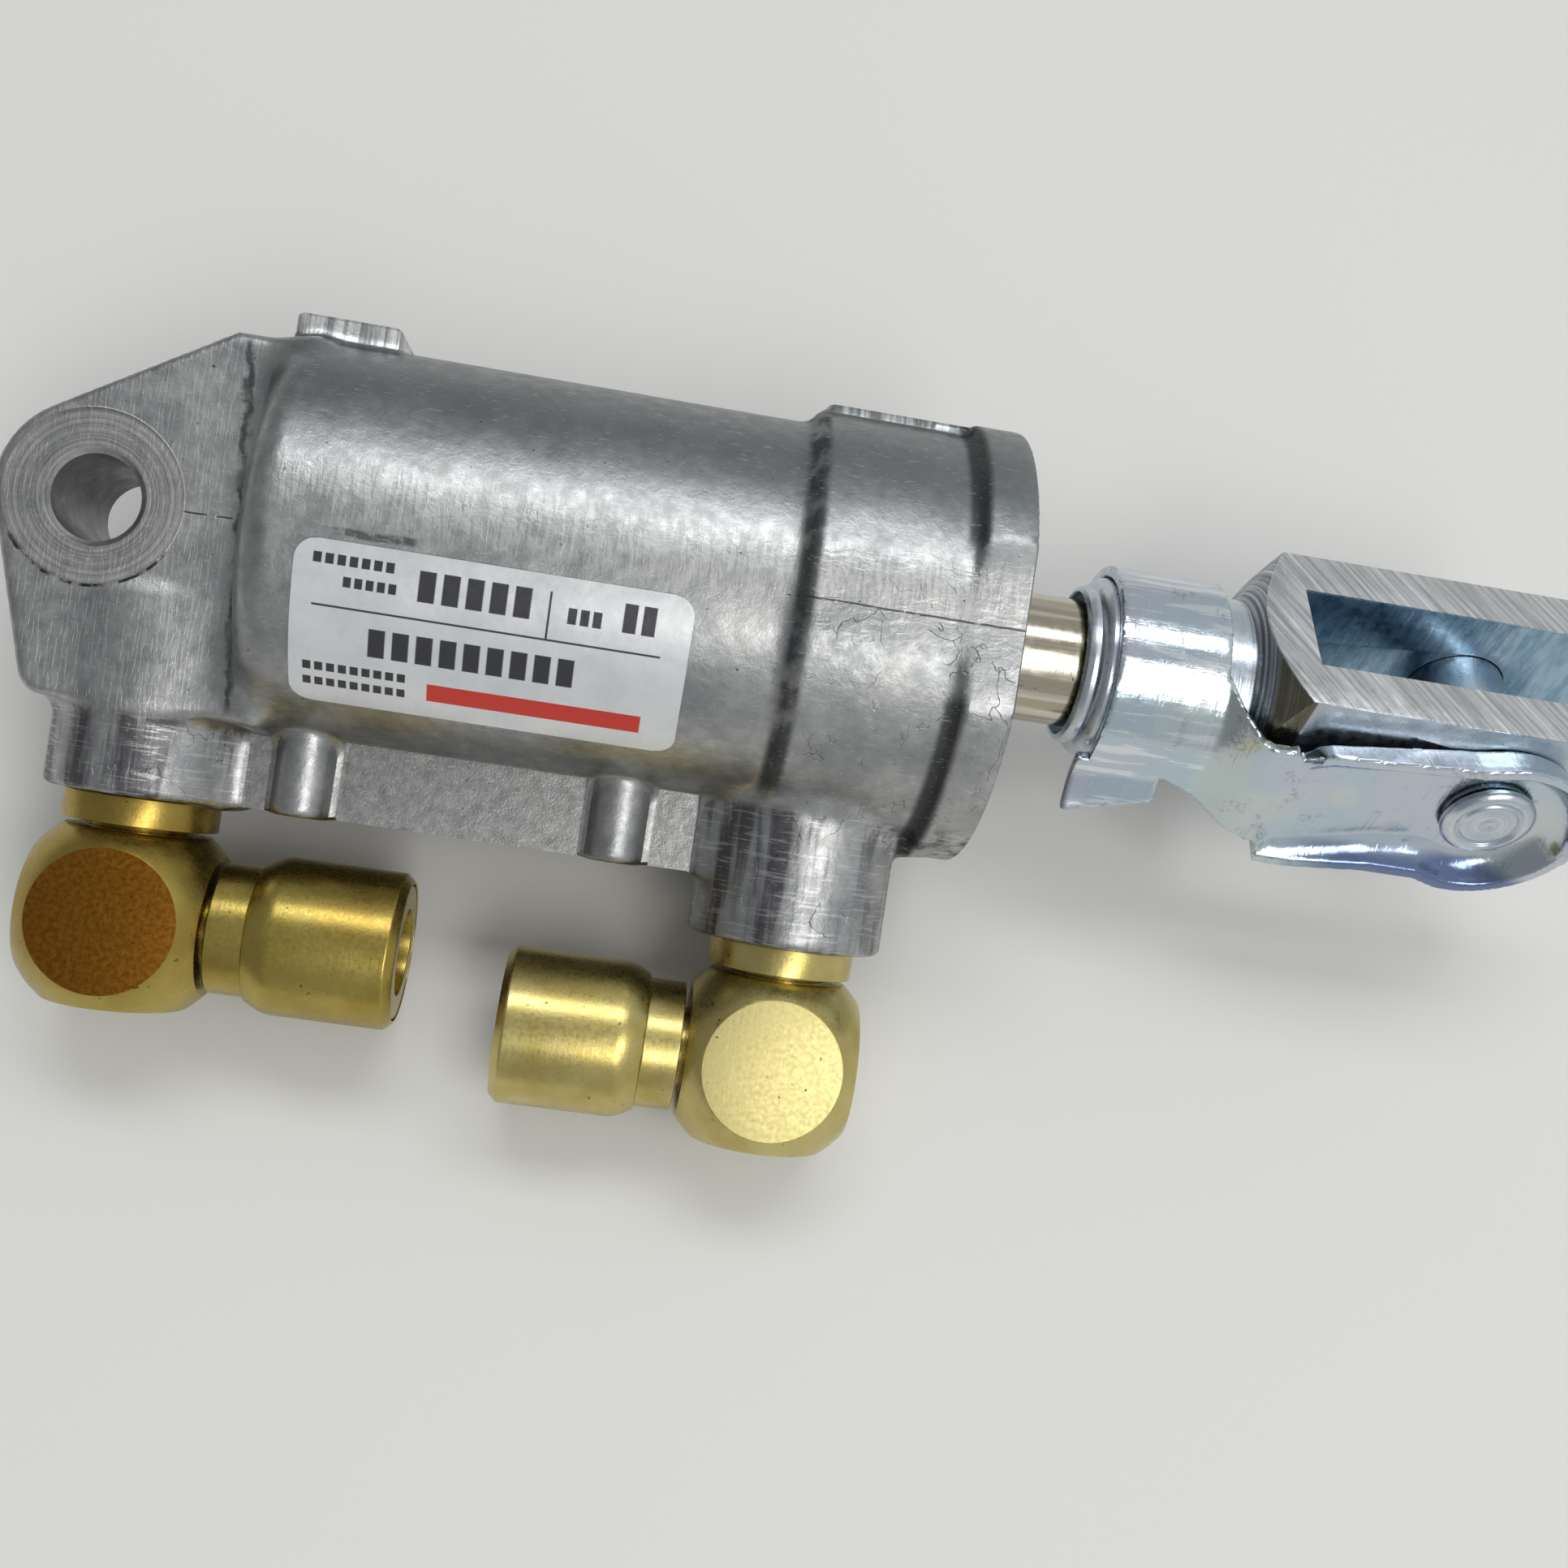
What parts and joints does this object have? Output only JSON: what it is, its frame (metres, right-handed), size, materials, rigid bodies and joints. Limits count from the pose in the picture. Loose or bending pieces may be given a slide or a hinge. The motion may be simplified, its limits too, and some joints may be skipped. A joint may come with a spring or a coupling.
{
  "type": "pneumatic cylinder",
  "caption": "Short double-acting air cylinder with a die-cast body, rear eye, brass tube elbows and a rod fork held by a spring clip pin.",
  "frame": {"origin": "centre of the bounding box with the rod retracted; the rod's axis runs along X at y = 11.925 mm, z = 0", "axes": "+X along the rod, towards the fork; +Z along the rear eye's axis, out of the side with the label; -Y is the side with the two ports"},
  "size_m": [0.1222, 0.0572, 0.0316],
  "materials": {
    "casting": "die-cast, satin grey with scratches and dark marks",
    "label": "printed silver-white film",
    "turned_aluminium": "turned",
    "rubber": "matte",
    "guide_band": "matte",
    "rod_steel": "ground and polished",
    "spring_steel": "phosphated, dark",
    "zinc_plate": "blue-passivated zinc plate over milled steel",
    "clip_plate": "blue-passivated zinc plate over pressed sheet",
    "brass": "turned, satin, lightly tarnished"
  },
  "bodies": {
    "cylinder": {"body_casting": "casting", "label": "label", "guide_bush": "turned_aluminium", "guide_bush_seal": "rubber", "rod_seal": "rubber", "rod_wiper": "rubber", "front_bumper": "rubber", "rear_bumper": "rubber", "circlip": "spring_steel", "rear_elbow_stud": "brass", "rear_elbow_stud_seal": "rubber", "front_elbow_stud": "brass", "front_elbow_stud_seal": "rubber"},
    "piston_seals": {"piston_seal_rear": "rubber", "piston_seal_front": "rubber", "piston_guide_band": "guide_band"},
    "rod_unit": {"piston": "turned_aluminium", "piston_rod": "rod_steel", "piston_nut": "zinc_plate", "fork_head": "zinc_plate"},
    "clip_unit": {"clip_spring": "clip_plate", "clip_pin": "zinc_plate"},
    "rear_elbow": {"rear_elbow_body": "brass", "rear_elbow_sleeve": "brass", "rear_elbow_tube_seal": "rubber", "rear_elbow_grab_ring": "spring_steel", "rear_elbow_retainer": "brass"},
    "front_elbow": {"front_elbow_body": "brass", "front_elbow_sleeve": "brass", "front_elbow_tube_seal": "rubber", "front_elbow_grab_ring": "spring_steel", "front_elbow_retainer": "brass"}
  },
  "joints": [
    {"name": "rod_slide", "type": "slide", "parent": "cylinder", "child": "piston_seals", "axis": [1, 0, 0], "range_m": [0, 0.025]},
    {"name": "rod_turn", "type": "hinge", "parent": "piston_seals", "child": "rod_unit", "pos_m": [-0.0321, 0.01192, 0], "axis": [1, 0, 0], "continuous": true},
    {"name": "clip_swing", "type": "hinge", "parent": "rod_unit", "child": "clip_unit", "pos_m": [0.0511, 0.01192, 0], "axis": [0, 0.7771, -0.6293], "range_deg": [0, 180]},
    {"name": "rear_elbow_swivel", "type": "hinge", "parent": "cylinder", "child": "rear_elbow", "pos_m": [-0.0495, -0.01762, 0], "axis": [0, 1, 0], "continuous": true},
    {"name": "front_elbow_swivel", "type": "hinge", "parent": "cylinder", "child": "front_elbow", "pos_m": [-0.0007, -0.02187, 0], "axis": [0, 1, 0], "continuous": true}
  ]
}
